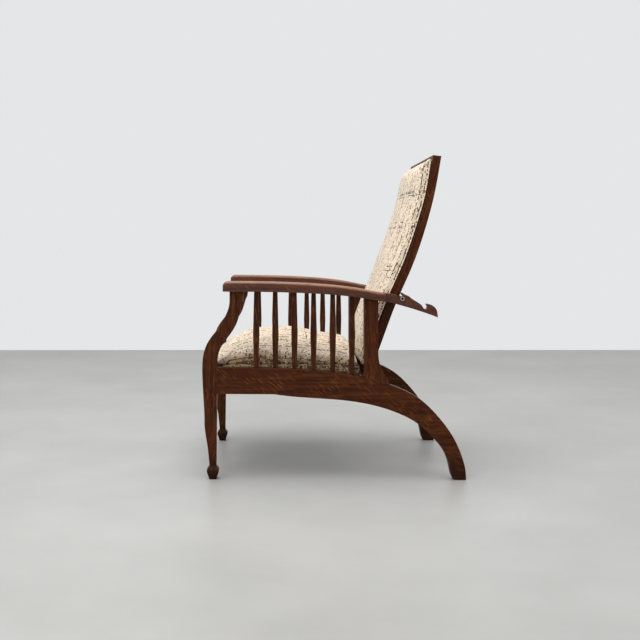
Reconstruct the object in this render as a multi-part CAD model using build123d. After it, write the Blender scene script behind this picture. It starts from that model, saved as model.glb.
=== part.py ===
from build123d import *
import math
import os

# A reclining armchair of sawn oak, with a stuffed seat and a stuffed back in woven cloth.
# Millimetres. X runs across the chair (positive on the sitter's left), the front faces -Y, Z is up.
# Side outlines are drawn with Y measured back from the foremost point of the front leg, and every
# piece is moved forward by half the depth at the end, so the origin is on the floor at the middle.

# Overall sizes
chair_depth = 817.5
arm_span = 660.0
arm_underside = 584.7
rail_top = 348.9
running_gap = 0.3
cut_overrun = 10.0

# Front leg
leg_width = 43.0
leg_sweep = 126.2
leg_straight_back = 45.0
ankle_height = 42.0
ankle_width = 21.0
foot_width = 37.0
foot_sole_width = 22.0
foot_shoulder_height = 30.0
foot_heel_height = 25.0
ankle_center = 32.1
leg_taper_top = 262.0
leg_front_angle = -80.0

# Side rail with the arched rear leg
rail_thickness = 30.0
rail_depth = 82.0
rail_fall_angle = -1.0

# Rear post
post_front = 502.0
post_width = 43.6
post_flare_length = 37.0
post_flare_height = 106.0
post_flare_top = 400.8
post_flare_angle = -72.0
post_knee_shares = (0.24, 0.5)

# Spindles
spindle_count = 6
spindle_first = 167.0
spindle_pitch = 59.5
spindle_top_width = 13.0
spindle_waist_width = 20.0
spindle_foot_width = 14.0
spindle_thickness = 14.0
spindle_waist_height = 450.0
tenon_width = 9.0
tenon_length = 12.0
tenon_gap = 0.05

# Arm and its notched tongue
arm_width = 78.0
arm_overhang = 15.0
arm_front = 63.3
arm_length = 673.3
arm_drop = 83.5
arm_nose_radius = 14.0
arm_corner_radius = 26.0
arm_edge_radius = 8.0
arm_under_angle = -22.0
arm_top_angle = -24.0
tongue_width = 28.0
tongue_lap = 12.0
rod_setback = 52.4
rod_height = 561.0
notch_pitch = 79.0
notch_fall_angle = 20.2
notch_exit_angle = 34.0
notch_gap = 0.3
notch_reach = 35.0

# Support rod
rod_radius = 6.5
rod_bore_radius = 3.8
rod_overhang = 12.0

# Seat rails, cleats and corner blocks
front_rail_front = 12.0
front_rail_thickness = 25.0
rear_rail_thickness = 28.0
rear_rail_height = 72.0
cleat_size = 20.0
block_leg = 52.0
block_height = 40.0

# Loose seat frame and its upholstery
seat_gap = 2.0
seat_frame_front = 50.0
seat_frame_back = 491.0
seat_rail_width = 46.0
seat_rail_thickness = 22.0
seat_side_gap = 2.5
seat_cover_thickness = 1.8
web_width = 48.0
web_thickness = 2.0
web_count_across = 4
web_count_along = 5
lining_thickness = 1.2
lining_margin = 10.0
seat_pad_front = 16.0
seat_pad_back = 492.0
seat_lip_depth = 26.0
seat_pad_height = 105.0
seat_side_draw = 7.0
seat_leg_gap = 10.0

# Back frame
back_lean = 20.0
back_rise = 693.8
back_sweep = 222.0
back_top_angle = 9.5
back_side_gap = 5.0
stile_width = 26.0
stile_depth = 28.0
top_rail_height = 58.0
bottom_rail_height = 62.0
middle_rail_height = 55.0
middle_rail_thickness = 18.0
middle_rail_level = 640.0
cover_thickness = 1.6
cover_inset = 1.5

# Back pad
back_pad_side = 1.5
back_pad_edge_thickness = 25.0
back_pad_crown_thickness = 50.0
back_pad_foot = 352.0
back_pad_head = 1003.0
back_pad_across_shares = ((-1.0, 0.0), (-0.55, 0.87), (0.0, 1.0), (0.55, 0.87), (1.0, 0.0))
back_pad_up_shares = (
    (0.0, 0.10), (0.04, 0.36), (0.10, 0.68), (0.19, 0.90), (0.40, 1.0), (0.60, 1.0),
    (0.80, 1.0), (0.91, 0.97), (0.97, 0.78), (1.0, 0.45),
)
strip_samples = 12

# Butt hinges
hinge_y = 532.0
hinge_z = 320.0
hinge_place_share = 0.607
hinge_length = 62.0
hinge_knuckle_count = 3
hinge_leaf_width = 24.0
hinge_leaf_thickness = 2.4
knuckle_radius = 4.5
hinge_pin_radius = 2.5
pin_gap = 0.05
knuckle_gap = 0.25
leaf_gap = 0.3
hinge_screw_count = 3

# Screws and dowels
screw_shank_radius = 1.8
screw_head_radius = 3.6
screw_head_height = 2.0
screw_length = 16.0
cleat_screw_length = 32.0
cleat_screw_count = 4
dowel_radius = 5.0
dowel_length = 44.0
dowel_gap = 0.05

half_arm_span = arm_span / 2
half_arm_gap = half_arm_span - arm_width
half_rail_span = half_arm_span - arm_overhang
rail_inner = half_rail_span - rail_thickness
leg_inner = half_rail_span - leg_width
leg_center = half_rail_span - leg_width / 2
half_back_width = half_arm_gap - back_side_gap
stile_inner = half_back_width - stile_width
half_pad_width = half_back_width - back_pad_side
arch_length = chair_depth - leg_straight_back
spindle_center = half_rail_span - rail_thickness / 2


def outline_points(shares, length, height, start, level):
    """Points of a side outline, given as shares of a length and a height."""
    return [Vector(0, start + length * a, level + height * b) for a, b in shares]


def straight(points):
    return [Line(a, b) for a, b in zip(points, points[1:])]


def curve(points, first_angle=None, last_angle=None):
    """A smooth edge whose end directions are angles from the front-to-back line."""
    ends = []
    for angle in (first_angle, last_angle):
        if angle is not None:
            ends.append(Vector(0, math.cos(math.radians(angle)), math.sin(math.radians(angle))))
    if ends:
        return Spline(*points, tangents=ends)
    return Spline(*points)


def board(edges, low, high):
    """Saw a side outline out of a board that lies between two places across the chair."""
    face = Face(Wire([edge for edge in edges]))
    return Pos(low, 0, 0) * extrude(face, amount=high - low, dir=(1, 0, 0))


def box_between(low, high):
    """A box from its lowest to its highest corner."""
    size = [b - a for a, b in zip(low, high)]
    return Pos(*low) * Box(*size, align=(Align.MIN, Align.MIN, Align.MIN))


def rod_between(start, end, radius):
    axis = end - start
    return Plane(origin=start, z_dir=axis) * Cylinder(
        radius, axis.length, align=(Align.CENTER, Align.CENTER, Align.MIN)
    )


def one_solid(shape):
    """The largest solid of a shape, without the slivers that a cut can leave."""
    return max(shape.solids(), key=lambda solid: solid.volume)


def other_side(shape):
    return mirror(shape, about=Plane.YZ)


# The slope of the back, from the hinge upwards
lean = math.radians(back_lean)
up_back = Vector(0, math.sin(lean), math.cos(lean))
to_front = Vector(0, -math.cos(lean), math.sin(lean))
hinge_axis = Vector(0, hinge_y, hinge_z)
back_face_set = knuckle_radius + knuckle_gap * 2
leaf_stack = hinge_leaf_thickness + leaf_gap

stile_heel = hinge_axis + to_front * back_face_set + up_back * leaf_stack
stile_toe = stile_heel + to_front * stile_depth

stile_rear_shares = (
    (0.256, 0.246), (0.403, 0.364), (0.556, 0.474), (0.760, 0.657), (0.887, 0.807), (0.995, 0.995),
)
stile_front_shares = (
    (0.122, 0.246), (0.297, 0.383), (0.486, 0.520), (0.646, 0.666), (0.775, 0.807), (0.880, 1.0),
)


def back_edge(corner, shares):
    """A long edge of the back: straight above the hinge, then an easy curve to the top."""
    points = outline_points(shares, back_sweep, back_rise, hinge_y, hinge_z)
    rise = points[0].Z - corner.Z
    knee = corner + up_back * (rise / math.cos(lean))
    bend = curve([knee] + points[1:], 90 - back_lean, 90 - back_top_angle)
    return Line(corner, knee), bend


rear_line, rear_bend = back_edge(stile_heel, stile_rear_shares)
front_line, front_bend = back_edge(stile_toe, stile_front_shares)


def level_on(edge, height):
    """The place on an edge at a height, found by halving."""
    low, high = 0.0, 1.0
    for _ in range(40):
        middle = (low + high) / 2
        if (edge @ middle).Z < height:
            low = middle
        else:
            high = middle
    return low


# The rod lies against the rear of the stiles, and the notches follow it
touch = level_on(rear_bend, rod_height + rod_radius * math.sin(lean))
touch_direction = rear_bend % touch
away = Vector(0, touch_direction.Z, -touch_direction.Y)
rod_center = (rear_bend @ touch) + away * (rod_radius + running_gap)
notch_fall = math.radians(notch_fall_angle)
rear_notch = rod_center + Vector(0, math.cos(notch_fall), -math.sin(notch_fall)) * notch_pitch


def make_back_slab(low, high):
    head = Line(rear_bend @ 1, front_bend @ 1)
    sole = Line(stile_toe, stile_heel)
    return board([rear_line, rear_bend, head, front_bend, front_line, sole], low, high)


# Side outline of the rail that runs into the arched rear leg
rail_top_shares = (
    (0.23, 0.992), (0.415, 0.965), (0.553, 0.925), (0.655, 0.875), (0.735, 0.813),
    (0.808, 0.729), (0.895, 0.547), (0.955, 0.356), (0.99, 0.165), (1.0, 0.0),
)
rail_bottom_shares = (
    (0.951, 0.0), (0.942, 0.04), (0.934, 0.118), (0.915, 0.24), (0.872, 0.365),
    (0.808, 0.498), (0.735, 0.587), (0.655, 0.649), (0.535, 0.702), (0.40, 0.727), (0.23, 0.762),
)


def make_side_rail():
    top = outline_points(rail_top_shares, arch_length, rail_top, leg_straight_back, 0)
    bottom = outline_points(rail_bottom_shares, arch_length, rail_top, leg_straight_back, 0)
    corner_top = Vector(0, leg_straight_back, rail_top)
    corner_bottom = Vector(0, leg_straight_back, rail_top - rail_depth)
    edges = [Line(corner_top, top[0]), curve(top, rail_fall_angle, -90), Line(top[-1], bottom[0])]
    edges += [curve(bottom), Line(bottom[-1], corner_bottom), Line(corner_bottom, corner_top)]
    return board(edges, rail_inner, half_rail_span)


# Front leg: a side outline and a front outline of the same square blank
leg_front_shares = (
    (0.668, 0.951), (0.583, 0.878), (0.386, 0.803), (0.116, 0.723), (0.017, 0.654),
    (0.0, 0.559), (0.05, 0.325), (0.13, 0.17),
)
leg_back_shares = (
    (0.357, 0.590), (0.368, 0.648), (0.435, 0.694), (0.656, 0.765),
    (0.853, 0.838), (0.95, 0.905), (1.0, 0.965),
)


def foot_points(center, ankle, place):
    """A spade foot from its ankle down one side and up the other."""
    half_foot = foot_width / 2
    half_sole = foot_sole_width / 2
    half_ankle = ankle / 2
    down = [(-half_ankle, ankle_height), (-half_foot, foot_shoulder_height), (-half_foot, foot_heel_height)]
    down += [(-half_sole, 0)]
    up = [(-aside, level) for aside, level in reversed(down)]
    return [place(center + aside, level) for aside, level in down + up]


def make_front_leg():
    top_level = arm_underside + cut_overrun
    front = outline_points(leg_front_shares, leg_sweep, arm_underside, 0, 0)
    back = outline_points(leg_back_shares, leg_sweep, arm_underside, 0, 0)
    foot = foot_points(ankle_center, ankle_width, lambda y, z: Vector(0, y, z))
    back_corner = Vector(0, leg_straight_back, rail_top - rail_depth)
    back_top = Vector(0, leg_straight_back, back[0].Z)
    top_front = Vector(0, front[0].Y, top_level)
    top_back = Vector(0, back[-1].Y, top_level)
    edges = [Line(top_front, front[0]), curve(front, -90, leg_front_angle), Line(front[-1], foot[0])]
    edges += straight(foot)
    edges += [Line(foot[-1], back_corner), Line(back_corner, back_top)]
    edges += [curve([back_top] + back[1:], 90, 90), Line(back[-1], top_back), Line(top_back, top_front)]
    side = board(edges, leg_inner, half_rail_span)
    half_leg = leg_width / 2
    foot_front = foot_points(leg_center, ankle_width, lambda x, z: Vector(x, 0, z))
    corners = [Vector(leg_center - half_leg, 0, top_level), Vector(leg_center - half_leg, 0, leg_taper_top)]
    corners += foot_front
    corners += [Vector(leg_center + half_leg, 0, leg_taper_top), Vector(leg_center + half_leg, 0, top_level)]
    front_face = Face(Wire(straight(corners + corners[:1])))
    blank = Pos(0, -cut_overrun, 0) * extrude(front_face, amount=leg_sweep + cut_overrun * 2, dir=(0, 1, 0))
    return side & blank


# Arm board: an easy curve from the nose to the tongue
arm_top_shares = ((0.30, -0.327), (0.515, -0.22), (0.65, -0.073), (0.745, 0.071), (0.813, 0.18))
arm_bottom_shares = ((0.0, 0.0), (0.29, 0.028), (0.515, 0.122), (0.745, 0.381), (0.87, 0.643), (1.0, 1.0))
arm_nose_share = 0.365
tooth_front_shares = ((-0.055, 0.233), (0.010, 0.231), (0.126, 0.16), (0.373, 0.009), (0.698, -0.195))
tooth_rear_shares = (
    (-0.115, 0.05), (0.03, 0.112), (0.09, 0.13), (0.183, 0.114), (0.288, 0.064),
    (0.375, -0.008), (0.432, -0.086), (0.462, -0.178),
)


def make_notch(center):
    """A round-bottomed slot that opens up and to the front, with the rod at its foot."""
    exit_angle = math.radians(notch_exit_angle)
    way_out = Vector(0, -math.sin(exit_angle), math.cos(exit_angle))
    radius = rod_radius + notch_gap
    aside = Vector(0, way_out.Z, -way_out.Y) * radius
    reach = way_out * notch_reach
    seat = ThreePointArc(center + aside, center - way_out * radius, center - aside)
    rim = [center - aside, center - aside + reach, center + aside + reach, center + aside]
    edges = [seat] + straight(rim)
    return board(edges, half_arm_gap - cut_overrun, half_arm_span + cut_overrun)


def make_arm():
    bottom = outline_points(arm_bottom_shares, arm_length, -arm_drop, arm_front, arm_underside)
    top = outline_points(arm_top_shares, arm_length, -arm_drop, arm_front, arm_underside)
    nose_low = bottom[0]
    nose_top_level = arm_underside + arm_drop * arm_nose_share
    nose_side = Vector(0, arm_front, nose_top_level - arm_nose_radius)
    nose_turn = arm_nose_radius * math.sqrt(0.5)
    nose_middle = Vector(
        0, arm_front + arm_nose_radius - nose_turn, nose_top_level - arm_nose_radius + nose_turn
    )
    nose_top = Vector(0, arm_front + arm_nose_radius, nose_top_level)
    underside = curve(bottom, 0, arm_under_angle)
    top_edge = curve([nose_top] + top, 0, arm_top_angle)
    nose = [Line(nose_low, nose_side), ThreePointArc(nose_side, nose_middle, nose_top)]
    tip_low = bottom[-1]
    teeth = [rod_center + Vector(0, a, b) * notch_pitch for a, b in tooth_front_shares]
    teeth += [rear_notch + Vector(0, a, b) * notch_pitch for a, b in tooth_rear_shares]
    ridge = straight([top[-1]] + teeth + [tip_low])
    whole = board(nose + [top_edge] + ridge + [underside], half_arm_gap, half_arm_span)
    board_back = rod_center.Y - rod_setback
    keep = box_between(
        (half_arm_gap, arm_front - cut_overrun, rail_top),
        (half_arm_span, board_back, arm_underside + arm_drop),
    )
    wide = whole & keep
    tongue_side = half_arm_gap + tongue_width
    outer_edges = [edge for edge in wide.edges().filter_by(Axis.Z) if edge.center().X > tongue_side]
    rear_corner = max(outer_edges, key=lambda edge: edge.center().Y)
    wide = fillet(rear_corner, arm_corner_radius)
    long_edges = [edge for edge in wide.edges() if edge.length > (board_back - arm_front) / 2]
    rims = [edge for edge in long_edges if (edge @ 0.5).Z > arm_underside]
    wide = fillet(rims, arm_edge_radius)
    tongue_blank = box_between(
        (half_arm_gap, board_back - tongue_lap, 0),
        (tongue_side, arm_front + arm_length + cut_overrun, arm_underside + arm_drop),
    )
    arm = wide + (whole & tongue_blank)
    for center in (rod_center, rear_notch):
        arm -= make_notch(center)
    return one_solid(arm)


def make_post(rail, arm):
    """The post stands on the rail, with an ogee flare on its rear edge."""
    back = post_front + post_width
    low = rail_top - rail_depth
    knee_out, knee_down = post_knee_shares
    root = Vector(0, back, post_flare_top)
    knee = root + Vector(0, post_flare_length * knee_out, -post_flare_height * knee_down)
    toe = root + Vector(0, post_flare_length, -post_flare_height)
    flare = curve([root, knee, toe], -90, post_flare_angle)
    corners = [Vector(0, post_front, low), Vector(0, post_front, arm_underside)]
    corners += [Vector(0, back, arm_underside), root]
    edges = straight(corners) + [flare]
    edges += straight([toe, Vector(0, toe.Y, low), corners[0]])
    return one_solid(board(edges, rail_inner, half_rail_span) - rail - arm)


def make_spindle(middle, rail, arm):
    """A spindle that is widest at its waist, with a square tenon at each end."""
    low = rail_top - rail_depth / 2
    half_thickness = spindle_thickness / 2
    halves = [spindle_top_width / 2, spindle_waist_width / 2, spindle_foot_width / 2]
    levels = [arm_underside + cut_overrun, spindle_waist_height, rail_top]
    right = [Vector(0, middle + half, level) for half, level in zip(halves, levels)]
    left = [Vector(0, middle - half, level) for half, level in zip(halves, levels)]
    foot = [Vector(0, middle + halves[2], low), Vector(0, middle - halves[2], low)]
    corners = right + foot + left[::-1]
    body = board(
        straight(corners + corners[:1]), spindle_center - half_thickness, spindle_center + half_thickness
    )
    return one_solid(body - rail - arm)


def make_tenons(spindle, grow):
    """The two tenons of a spindle, or their mortises when grown."""
    box = spindle.bounding_box()
    half = tenon_width / 2 + grow
    middle = box.center().Y
    low = (spindle_center - half, middle - half, box.min.Z - tenon_length - grow)
    high = (spindle_center + half, middle + half, box.min.Z + tenon_length)
    foot = box_between(low, high)
    low = (spindle_center - half, middle - half, box.max.Z - tenon_length)
    high = (spindle_center + half, middle + half, box.max.Z + tenon_length + grow)
    return foot + box_between(low, high)


def crowned_section(y, half, low, high, edge, draw):
    """A pad's cross section: flat below, upright sides that draw in to an edge, crown above."""
    a = Vector(-half, y, low)
    b = Vector(half, y, low)
    c = Vector(half, y, (low + edge) / 2)
    d = Vector(half - draw, y, edge)
    e = Vector(-half + draw, y, edge)
    f = Vector(-half, y, (low + edge) / 2)
    crown = ThreePointArc(d, Vector(0, y, high), e)
    right = ThreePointArc(b, c, d)
    left = ThreePointArc(e, f, a)
    return Face(Wire([Line(a, b), right, crown, left]))


seat_frame_top = rail_top - seat_gap
seat_frame_low = seat_frame_top - seat_rail_thickness
seat_half = rail_inner - seat_side_gap
seat_frame_half = seat_half - seat_cover_thickness - running_gap
# Where a section lies along the seat, and how high its edge and its crown are there
seat_section_shares = (
    (0.0, 0.05, 0.08), (0.085, 0.20, 0.30), (0.15, 0.29, 0.56), (0.271, 0.38, 0.79), (0.4375, 0.40, 0.90),
    (0.66, 0.33, 0.82), (0.806, 0.265, 0.69), (0.92, 0.19, 0.58), (0.97, 0.14, 0.45), (1.0, 0.04, 0.08),
)


def make_seat_pad():
    """A stuffed seat, highest in the middle, cut round the front legs, whose cover hides its frame."""
    low = seat_frame_top + web_thickness * 2 + running_gap
    length = seat_pad_back - seat_pad_front
    sections = []
    for place_share, edge_share, crown_share in seat_section_shares:
        y = seat_pad_front + length * place_share
        crown = low + seat_pad_height * crown_share
        edge = low + seat_pad_height * edge_share
        sections.append(crowned_section(y, seat_half, low, crown, edge, seat_side_draw))
    pad = loft(sections)
    lip_start = seat_pad_front + web_thickness
    pad += box_between(
        (-leg_inner, lip_start, seat_frame_top + running_gap),
        (leg_inner, lip_start + seat_lip_depth, low + web_thickness),
    )
    skirt = box_between(
        (seat_half - seat_cover_thickness, seat_frame_front, seat_frame_low),
        (seat_half, seat_frame_back, low + web_thickness),
    )
    pad += skirt
    pad += other_side(skirt)
    corner = box_between(
        (leg_inner - seat_side_gap, 0, 0),
        (half_rail_span, leg_straight_back + seat_leg_gap, arm_underside),
    )
    return one_solid(pad - corner - other_side(corner))


def place_up_back(level, depth, front=True):
    """A place on the front or the rear edge of a stile, moved to the front by a depth."""
    line, bend = (front_line, front_bend) if front else (rear_line, rear_bend)
    edge = line if level < (bend @ 0).Z else bend
    return edge @ level_on(edge, level) + to_front * depth


def points_up_back(level_low, level_high, depth, front=True):
    step = (level_high - level_low) / strip_samples
    return [place_up_back(level_low + step * i, depth, front) for i in range(strip_samples + 1)]


def make_back_pad():
    """A stuffed back that follows the curve of the stiles, thickest in the middle."""
    rears = points_up_back(back_pad_foot, back_pad_head, web_thickness + running_gap)
    sections = []
    for place_share, crown_share in back_pad_across_shares:
        thickness = back_pad_edge_thickness
        thickness += (back_pad_crown_thickness - back_pad_edge_thickness) * crown_share
        x = Vector(half_pad_width * place_share, 0, 0)
        behind = [point + x for point in rears]
        ahead = []
        for up_share, thick_share in reversed(back_pad_up_shares):
            level = back_pad_foot + (back_pad_head - back_pad_foot) * up_share
            depth = web_thickness + running_gap + thickness * thick_share
            ahead.append(place_up_back(level, depth) + x)
        edges = [Spline(*behind), Line(behind[-1], ahead[0]), Spline(*ahead), Line(ahead[-1], behind[0])]
        sections.append(Face(Wire(edges)))
    return loft(sections)


def skin_strip(depth_low, depth_high, low, high, level_low, level_high, front=True):
    """A thin strip that follows the front or the rear of the back frame between two heights."""
    inner = points_up_back(level_low, level_high, depth_low, front)
    outer = points_up_back(level_low, level_high, depth_high, front)
    edges = [Spline(*inner), Line(inner[-1], outer[-1]), Spline(*outer[::-1]), Line(outer[0], inner[0])]
    return board(edges, low, high)


def make_screw(head_center, direction, length, grow=0.0):
    """A countersunk wood screw, or the hole for it when grown."""
    shank_start = head_center + direction * (screw_head_height / 2)
    shank = rod_between(shank_start, head_center + direction * length, screw_shank_radius + grow)
    cone = Plane(origin=head_center, z_dir=direction) * Cone(
        screw_head_radius + grow, screw_shank_radius + grow, screw_head_height,
        align=(Align.CENTER, Align.CENTER, Align.MIN),
    )
    return shank + cone


pieces = {}

# Side frames, made on the left and mirrored
side_rail = make_side_rail()
arm = make_arm()
leg = one_solid(make_front_leg() - arm)
post = make_post(side_rail, arm)
spindles = [make_spindle(spindle_first + spindle_pitch * i, side_rail, arm) for i in range(spindle_count)]
for i, spindle in enumerate(spindles):
    mortises = make_tenons(spindle, tenon_gap)
    arm -= mortises
    side_rail -= mortises
    spindles[i] = one_solid(spindle + make_tenons(spindle, 0))

# Cross rails
rear_rail_back = hinge_y - back_face_set
rear_rail_top = hinge_z - leaf_stack
front_seat_rail = box_between(
    (-leg_inner, front_rail_front, rail_top - rail_depth),
    (leg_inner, front_rail_front + front_rail_thickness, rail_top - seat_gap),
)
rear_seat_rail = box_between(
    (-rail_inner, rear_rail_back - rear_rail_thickness, rear_rail_top - rear_rail_height),
    (rail_inner, rear_rail_back, rear_rail_top),
)

# Dowels: place, direction and the two pieces that each joins
dowel_half = dowel_length / 2


def dowel_at(center, direction, grow=0.0):
    reach = direction * (dowel_half + grow)
    return rod_between(center - reach, center + reach, dowel_radius + grow)


across = Vector(1, 0, 0)
rearward = Vector(0, 1, 0)
upward = Vector(0, 0, 1)
rail_quarter = rail_depth / 4
front_rail_middle = front_rail_front + front_rail_thickness / 2
rear_rail_middle = rear_rail_back - rear_rail_thickness / 2
leg_top_middle = leg.bounding_box().max.Y - leg_straight_back / 2
joint_dowels = {"leg_and_post_dowels": [], "rail_dowels": []}
for share in (1, 3):
    level = rail_top - rail_quarter * share
    rail_dowel = (Vector(spindle_center, leg_straight_back, level), rearward)
    front_dowel = (Vector(leg_inner, front_rail_middle, level - seat_gap), across)
    rear_level = rear_rail_top - rear_rail_height * share / 4
    rear_dowel = (Vector(rail_inner, rear_rail_middle, rear_level), across)
    joint_dowels["rail_dowels"] += [rail_dowel, front_dowel, rear_dowel]
post_middle = post_front + post_width / 2
arm_middle_level = arm_underside - dowel_radius
post_top = post.bounding_box().max.Z - dowel_radius * 2
post_low = side_rail.bounding_box().max.Z - rail_depth / 2
joint_dowels["leg_and_post_dowels"] += [
    (Vector(leg_center, leg_top_middle, arm_middle_level), upward),
    (Vector(spindle_center, post_middle, post_top), upward),
    (Vector(spindle_center, post_middle, post_low), upward),
]
for name, places in joint_dowels.items():
    group = []
    for center, direction in places:
        hole = dowel_at(center, direction, dowel_gap)
        leg -= hole
        side_rail -= hole
        arm -= hole
        post -= hole
        front_seat_rail = front_seat_rail - hole - other_side(hole)
        rear_seat_rail = rear_seat_rail - hole - other_side(hole)
        group += [dowel_at(center, direction), dowel_at(Vector(-center.X, center.Y, center.Z), direction)]
    pieces[name] = [one_solid(pin) for pin in group]

# Cleats under the loose seat, with their screws
cleat_top = seat_frame_low
cleat = box_between(
    (rail_inner - cleat_size, leg_straight_back + block_leg, cleat_top - cleat_size),
    (rail_inner, seat_frame_back, cleat_top),
)
cleat_screws = []
cleat_run = seat_frame_back - leg_straight_back - block_leg
for i in range(cleat_screw_count):
    y = leg_straight_back + block_leg + cleat_run * (i + 0.5) / cleat_screw_count
    head = Vector(rail_inner - cleat_size, y, cleat_top - cleat_size / 2)
    hole = make_screw(head, across, cleat_screw_length, dowel_gap)
    cleat -= hole
    side_rail -= hole
    screw = make_screw(head, across, cleat_screw_length)
    cleat_screws += [screw, other_side(screw)]

# Corner blocks in the front corners, behind the front rail
block_back = front_rail_front + front_rail_thickness
block_face = Face(Wire(straight([
    Vector(leg_inner, block_back, cleat_top), Vector(leg_inner, block_back + block_leg, cleat_top),
    Vector(leg_inner - block_leg, block_back, cleat_top), Vector(leg_inner, block_back, cleat_top),
])))
corner_block = extrude(block_face, amount=block_height, dir=(0, 0, -1))

# Loose seat frame
seat_inner = seat_frame_half - seat_rail_width
seat_side_rail = box_between(
    (seat_inner, seat_frame_front, seat_frame_low),
    (seat_frame_half, seat_frame_back, seat_frame_top),
)
seat_front_bar = box_between(
    (-seat_inner, seat_frame_front, seat_frame_low),
    (seat_inner, seat_frame_front + seat_rail_width, seat_frame_top),
)
seat_rear_bar = box_between(
    (-seat_inner, seat_frame_back - seat_rail_width, seat_frame_low),
    (seat_inner, seat_frame_back, seat_frame_top),
)
web_field = seat_frame_back - seat_frame_front - seat_rail_width * 2
long_webs = []
for i in range(web_count_along):
    x = seat_inner * (2 * (i + 0.5) / web_count_along - 1)
    long_webs.append(box_between(
        (x - web_width / 2, seat_frame_front, seat_frame_top),
        (x + web_width / 2, seat_frame_back, seat_frame_top + web_thickness),
    ))
cross_webs = []
for i in range(web_count_across):
    y = seat_frame_front + seat_rail_width + web_field * (i + 0.5) / web_count_across
    cross_webs.append(box_between(
        (-seat_frame_half, y - web_width / 2, seat_frame_top + web_thickness),
        (seat_frame_half, y + web_width / 2, seat_frame_top + web_thickness * 2),
    ))
bottom_cloth = box_between(
    (-seat_inner, seat_frame_front + lining_margin, seat_frame_low - lining_thickness),
    (seat_inner, seat_frame_back - lining_margin, seat_frame_low),
)

# Back frame
stile = make_back_slab(stile_inner, half_back_width)
inner_slab = make_back_slab(-stile_inner, stile_inner)
head_level = (rear_bend @ 1).Z
behind_back = (rear_bend @ 1).Y + stile_depth
top_rail = inner_slab & box_between(
    (-half_back_width, 0, head_level - top_rail_height),
    (half_back_width, behind_back, head_level + stile_depth),
)
bottom_level = stile_toe.Z + bottom_rail_height
bottom_rail = inner_slab & box_between(
    (-half_back_width, 0, 0),
    (half_back_width, behind_back, bottom_level),
)
middle_rail = skin_strip(
    -middle_rail_thickness, 0, -stile_inner, stile_inner,
    middle_rail_level - middle_rail_height / 2, middle_rail_level + middle_rail_height / 2,
)
rear_cover = skin_strip(
    cover_inset, cover_inset + cover_thickness, -stile_inner, stile_inner,
    bottom_level, head_level - top_rail_height, front=False,
) - top_rail - bottom_rail
back_webs = []
for i in range(web_count_across):
    x = stile_inner * (2 * (i + 0.5) / web_count_across - 1)
    web = skin_strip(
        0, web_thickness, x - web_width / 2, x + web_width / 2, bottom_level - web_width,
        head_level - top_rail_height + web_width / 2,
    )
    back_webs.append(web - top_rail - middle_rail - bottom_rail)

# Butt hinges: the base leaf lies on the rear seat rail, the back leaf under the bottom rail
def on_axis(x):
    return Vector(x, hinge_y, hinge_z)


sector = hinge_length / hinge_knuckle_count
base_leaves = []
back_leaves = []
hinge_pins = []
base_screws = []
back_screws = []
for side in (-1, 1):
    middle = side * half_back_width * hinge_place_share
    start = middle - hinge_length / 2
    end = middle + hinge_length / 2
    inner_start = start + sector - knuckle_gap
    inner_end = end - sector + knuckle_gap

    barrel = rod_between(on_axis(start), on_axis(end), knuckle_radius)
    bore = rod_between(on_axis(start - cut_overrun), on_axis(end + cut_overrun), hinge_pin_radius + pin_gap)
    center_slice = box_between((start + sector, 0, 0), (end - sector, behind_back, head_level))
    wide_slice = box_between((inner_start, 0, 0), (inner_end, behind_back, head_level))
    base_plate = box_between(
        (start, hinge_y - hinge_leaf_width - back_face_set, rear_rail_top),
        (end, hinge_y, rear_rail_top + hinge_leaf_thickness),
    )
    clear = rod_between(on_axis(inner_start), on_axis(inner_end), knuckle_radius + knuckle_gap)
    base_leaf = (base_plate + (barrel - wide_slice)) - bore - clear
    plate_low = hinge_axis + up_back * leaf_gap
    plate_high = plate_low + up_back * hinge_leaf_thickness
    reach = to_front * (hinge_leaf_width + back_face_set)
    back_plate = board(
        straight([plate_low, plate_high, plate_high + reach, plate_low + reach, plate_low]), start, end
    )
    for low, high in ((start, start + sector), (end - sector, end)):
        back_plate -= rod_between(
            on_axis(low - knuckle_gap), on_axis(high + knuckle_gap), knuckle_radius + knuckle_gap
        )
    back_leaf = (back_plate + (barrel & center_slice)) - bore
    set_in = back_face_set + hinge_leaf_width / 2
    for i in range(hinge_screw_count):
        x = start + hinge_length * (i + 0.5) / hinge_screw_count
        base_head = Vector(x, hinge_y - set_in, rear_rail_top + hinge_leaf_thickness)
        hole = make_screw(base_head, -upward, screw_length, dowel_gap)
        base_leaf -= hole
        rear_seat_rail -= hole
        base_screws.append(make_screw(base_head, -upward, screw_length))
        back_head = Vector(x, 0, 0) + plate_low + to_front * set_in
        hole = make_screw(back_head, up_back, screw_length, dowel_gap)
        back_leaf -= hole
        bottom_rail -= hole
        back_screws.append(make_screw(back_head, up_back, screw_length))
    base_leaves.append(one_solid(base_leaf))
    back_leaves.append(one_solid(back_leaf))
    hinge_pins.append(rod_between(on_axis(start), on_axis(end), hinge_pin_radius))

# Support rod across the two tongues
rod_half = half_arm_gap + tongue_width + rod_overhang
rod_start = rod_center - across * rod_half
rod_end = rod_center + across * rod_half
support_rod = rod_between(rod_start, rod_end, rod_radius) - rod_between(rod_start, rod_end, rod_bore_radius)

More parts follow.
